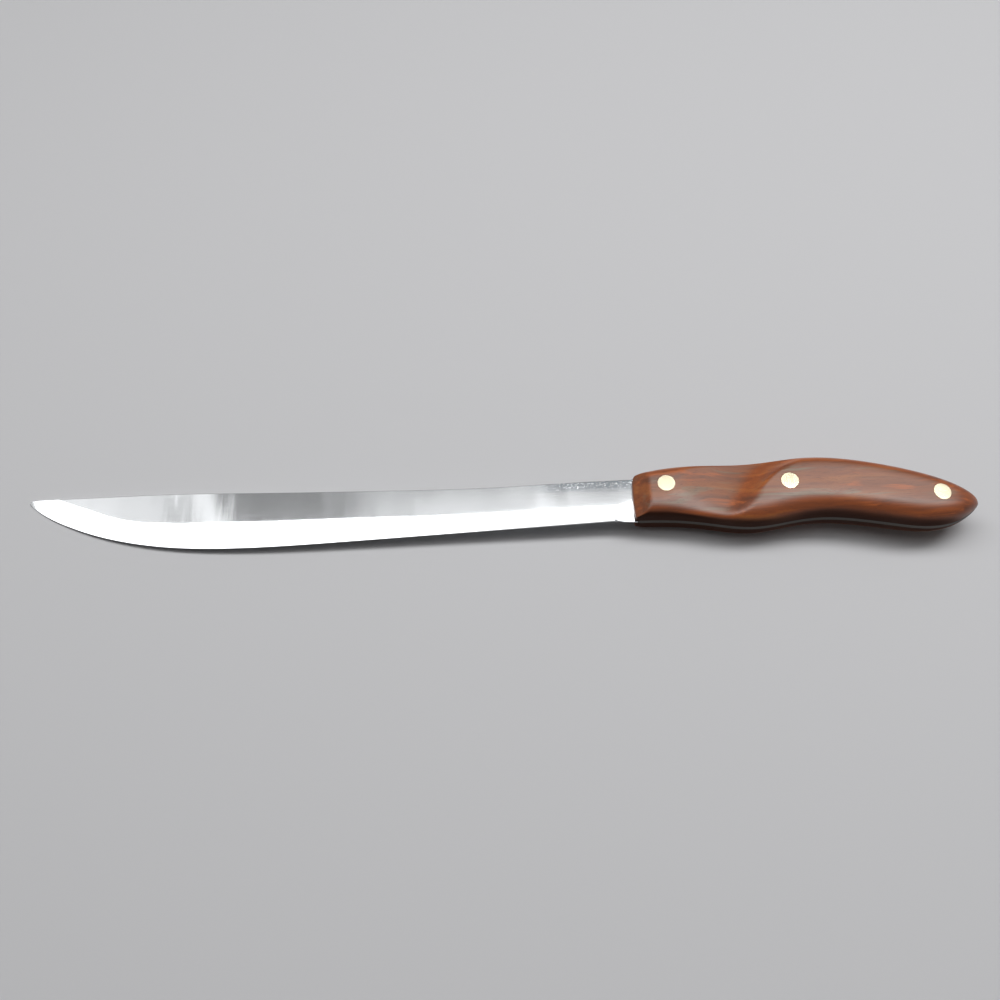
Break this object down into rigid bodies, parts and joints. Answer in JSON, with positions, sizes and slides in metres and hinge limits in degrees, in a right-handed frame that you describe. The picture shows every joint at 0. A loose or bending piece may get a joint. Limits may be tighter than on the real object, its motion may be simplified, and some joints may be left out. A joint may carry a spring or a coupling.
{
  "type": "carving knife",
  "caption": "Full-tang carving knife lying on its side: long bellied blade with a wide bevel, and shaped wooden scales with a thumb scoop held by flush rivets.",
  "frame": {"origin": "under the middle of the knife's box, on the level of the lowest face of the lower scale, with the knife lying on its side", "axes": "+X from the point to the butt, +Y from the edge to the spine, +Z across the blade from the lower scale to the upper one"},
  "size_m": [0.349, 0.0281, 0.0186],
  "materials": {
    "polished_steel": "polished stainless, with fine lengthways wear",
    "scale_wood": "oiled and waxed reddish-brown hardwood",
    "rivet_nickel_silver": "nickel silver ground flush and polished"
  },
  "bodies": {
    "root": {"blade": "polished_steel", "upper_scale": "scale_wood", "lower_scale": "scale_wood", "front_rivet_male": "rivet_nickel_silver", "front_rivet_female": "rivet_nickel_silver", "middle_rivet_male": "rivet_nickel_silver", "middle_rivet_female": "rivet_nickel_silver", "rear_rivet_male": "rivet_nickel_silver", "rear_rivet_female": "rivet_nickel_silver"}
  },
  "joints": []
}
